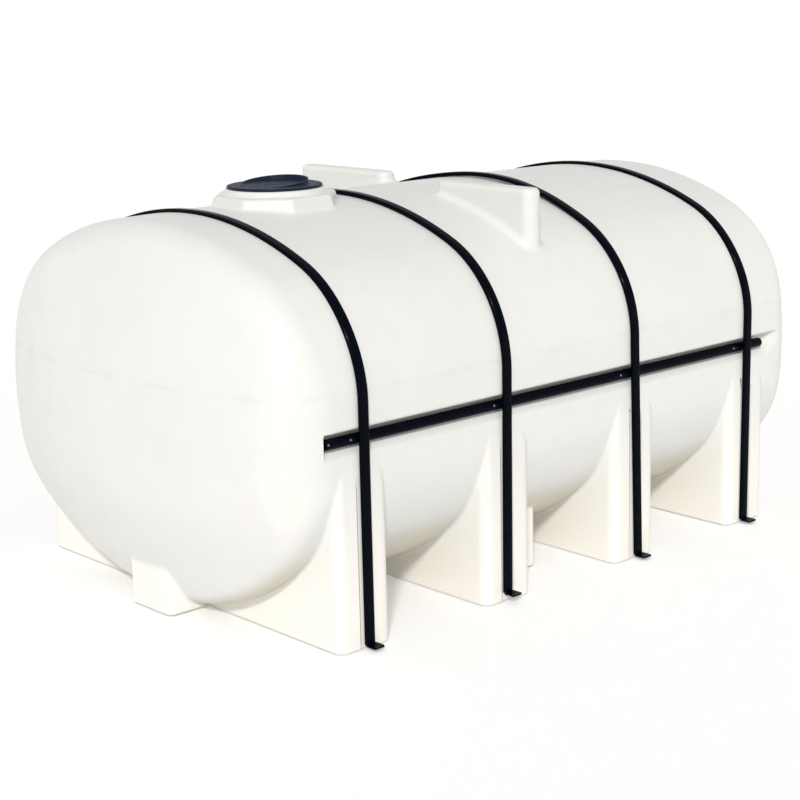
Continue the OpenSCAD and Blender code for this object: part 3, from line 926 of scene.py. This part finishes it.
bolt_x = (open_x + 14, open_x + 136, -518, 342, 1212)
points, turns = [], []
for sign in (-1, 1):
    for x in bolt_x:
        points.append((x, sign * (tube_y + tube_r + 0.2), tube_z + 5))
        turns.append((-sign * math.pi / 2, 0, 0))
bolts = grow("tube_bolts", bolt_group, cloud("tube_bolts", points, turns), bevel=0.0004,
             Washer=0.0052, Thick=0.0014, Head=0.0038, Height=0.0036, Lift=0.0025, Finish=zinc)

# %% [markdown]
# ## Foot tabs
# Each hoop ends in a flat tab with rounded corners and one bolt hole, for the bolt that holds the
# tank down. A plate could be cut with a boolean. Filling an outline that has the hole in it is
# cleaner: the group fills the outline, gives it thickness and closes it underneath.

# %% Foot tab node group
tab_group, given = new_group("tabs", Length="Float", Reach="Float", Thick="Float", Corner="Float",
                             Hole="Float", Shift="Float", Finish="Material")
block = add(tab_group, "GeometryNodeCurvePrimitiveQuadrilateral", {"Width": (given, "Length"),
                                                                  "Height": (given, "Reach")})
plan = add(tab_group, "GeometryNodeFilletCurve", {"Curve": (block, "Curve"), "Radius": (given, "Corner"),
                                                 "Count": 5, "Limit Radius": True}, mode="POLY")
hole = add(tab_group, "GeometryNodeCurvePrimitiveCircle", {"Resolution": 24, "Radius": (given, "Hole")})
shift = add(tab_group, "ShaderNodeCombineXYZ", {"Y": (given, "Shift")})
moved = add(tab_group, "GeometryNodeTransform", {"Geometry": (hole, "Curve"),
                                                "Translation": (shift, "Vector")})
outline = add(tab_group, "GeometryNodeJoinGeometry", {"Geometry": [(plan, "Curve"), (moved, "Geometry")]})
sheet = add(tab_group, "GeometryNodeFillCurve", {"Curve": (outline, "Geometry")})
raised = add(tab_group, "GeometryNodeExtrudeMesh", {"Mesh": (sheet, "Mesh"), "Offset": (0.0, 0.0, 1.0),
                                                   "Offset Scale": (given, "Thick"),
                                                   "Individual": False})
under = add(tab_group, "GeometryNodeFlipFaces", {"Mesh": (sheet, "Mesh")})
shape = add(tab_group, "GeometryNodeJoinGeometry", {"Geometry": [(raised, "Mesh"), (under, "Mesh")]})
closed = add(tab_group, "GeometryNodeMergeByDistance", {"Geometry": (shape, "Geometry"),
                                                       "Distance": 0.0001})
place_copies(tab_group, given, closed)

# %% Foot tabs
tab_low, tab_high = box("foot_right_1")
tab_x, tab_y, tab_t = tab_high - tab_low
feet, turns = [], []
for k in range(4):
    for sign in (-1, 1):
        low, high = box(f"foot_{'left' if sign > 0 else 'right'}_{k + 1}")
        leg = sum(saddle_boxes[k])[0] / 2 + leg_shift[k] + leg_lean[k]
        feet.append((leg + (tab_x - hoop_w) / 2, (low[1] + high[1]) / 2, low[2]))
        turns.append((0, 0, math.pi if sign > 0 else 0))
tabs = grow("foot_tabs", tab_group, cloud("foot_tabs", feet, turns), bevel=0.0012,
            Length=tab_x / 1000, Reach=tab_y / 1000, Thick=tab_t / 1000, Corner=0.009, Hole=0.008,
            Shift=-0.006, Finish=paint)
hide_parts(*[f"foot_{side}_{k}" for side in ("left", "right") for k in (1, 2, 3, 4)])

# %% [markdown]
# ## Lid
# The lid is a flat flange with a shallow dish on it. The dish leans, so its rim is level with the
# flange on one side and stands up on the other. Two pieces would leave a gap where they meet, so
# one profile is turned and its points are raised on one side, in step with their height.

# %% Lid
lid_low, lid_high = box("manway_lid")
lid_r, hub_r = (lid_high[0] - lid_low[0]) / 2, 162.0
flange_h, hub_rise, hub_turn = 13, 0.092, 0.25


def rounded(profile, r, steps=4):
    """A profile with each inner corner rounded by r."""
    made = [profile[0]]
    for before, here, after in zip(profile, profile[1:], profile[2:]):
        before, here, after = (np.array(p, dtype=float) for p in (before, here, after))
        back, on = before - here, after - here
        reach = min(r, np.linalg.norm(back) * 0.45, np.linalg.norm(on) * 0.45)
        start = here + back / np.linalg.norm(back) * reach
        end = here + on / np.linalg.norm(on) * reach
        for t in np.linspace(0, 1, steps + 1):
            made.append(tuple((1 - t) ** 2 * start + 2 * t * (1 - t) * here + t ** 2 * end))
    return made + [profile[-1]]


def hub_slope(points):
    """Raises the hub on one side. The flange stays level."""
    share = np.clip((points[:, 2] - flange_h) / flange_h, 0, 1)
    points[:, 2] += share * hub_rise * (points[:, 0] + hub_turn * points[:, 1])
    return points


seat = np.array([manway_x, 0, lid_low[2]])
outline = [(0, 0.4), (lid_r - 4, 0.4), (lid_r, 3), (lid_r, 10), (lid_r - 5, flange_h),
           (hub_r + 16, flange_h), (hub_r, 14), (hub_r, 27), (hub_r - 9, 27), (hub_r - 13, 15),
           (60, 14), (40, 16), (0, 17)]
lid = turned("lid_turned", rounded(outline, 3.0), seat, satin, 96, hub_slope)
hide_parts("manway_lid")

# %% [markdown]
# ## Camera
# The camera stands off the manway end and the right side, a little above the crown, and looks
# slightly down. It could be aimed at a point with a constraint, but the roll would still need
# setting, so its three directions are worked out from its heading, tilt and roll.

# %% Camera
heading, tilt, roll = (math.radians(v) for v in (-41.708, 13.0, -1.398))
ahead = Vector((-math.sin(heading) * math.cos(tilt), math.cos(heading) * math.cos(tilt),
                -math.sin(tilt)))
right = Vector((math.cos(heading), math.sin(heading), 0))
up = right.cross(ahead)
right, up = (math.cos(roll) * right + math.sin(roll) * up,
             math.cos(roll) * up - math.sin(roll) * right)
camera = bpy.data.objects.new("camera", bpy.data.cameras.new("camera"))
collection.objects.link(camera)
camera.matrix_world = Matrix((
    (right.x, up.x, -ahead.x, -6.21985),
    (right.y, up.y, -ahead.y, -6.90108),
    (right.z, up.z, -ahead.z, 2.85076),
    (0, 0, 0, 1)))
camera.data.lens, camera.data.sensor_width = 82.905, 36
bpy.context.scene.camera = camera
print("camera at", camera.matrix_world.translation, "lens", round(camera.data.lens, 2))

# %% [markdown]
# ## Floor
# A pale floor rises into a backdrop on every side, so that no edge shows behind the tank. A plane
# and a bright sky would leave a horizon. The floor glows faintly, which lightens the shadow under
# the tank as light from a large white studio would.

# %% Floor
pale, tree = new_material("pale_floor")
finish_material(tree, Base_Color=colour("dedede"), Roughness=0.9, Emission_Color=colour("ffffff"),
                Emission_Strength=0.25)
flat_r, curve_r, steps = 24, 8, 64
profile = [(r, 0) for r in (8, 16, flat_r)]
profile += [(flat_r + curve_r * math.sin(t), curve_r * (1 - math.cos(t)))
            for t in np.linspace(0.1, 1.5, 14)]
points, faces = [(0, 0, 0)], [(0, 1 + i, 1 + (i + 1) % steps) for i in range(steps)]
for r, z in profile:
    turn = [2 * math.pi * i / steps for i in range(steps)]
    points += [(r * math.cos(t), r * math.sin(t), z) for t in turn]
for n in range(len(profile) - 1):
    a, b = 1 + n * steps, 1 + (n + 1) * steps
    faces += [(a + i, b + i, b + (i + 1) % steps, a + (i + 1) % steps) for i in range(steps)]
mesh = bpy.data.meshes.new("floor")
mesh.from_pydata(points, [], faces)
mesh.materials.append(pale)
mesh.shade_smooth()
floor = bpy.data.objects.new("floor", mesh)
collection.objects.link(floor)
print("floor", len(faces), "faces")

# %% [markdown]
# ## Light
# One soft light stands above the camera and a little to its left, so the end and the right side
# are lit alike and the knuckle between them is brightest. A plain white sky fills the rest. Area
# lights would do, but their strength would fall off along the tank. A sun's doesn't.

# %% Light
world = bpy.data.worlds.new("sky")
world.use_nodes = True
world.node_tree.nodes["Background"].inputs["Color"].default_value = colour("ffffff")
world.node_tree.nodes["Background"].inputs["Strength"].default_value = 0.6
bpy.context.scene.world = world
bpy.context.scene.view_settings.view_transform = "Standard"
data = bpy.data.lights.new("key", "SUN")
data.energy, data.angle, data.color = 2.3, math.radians(5.0), colour("fffcf9")[:3]
key = bpy.data.objects.new("key", data)
key.location = (-6.0, -5.8, 5.5)
key.rotation_euler = (-key.location).to_track_quat("-Z", "Y").to_euler()
collection.objects.link(key)
print("key light", round(data.energy, 2), "from", key.location)
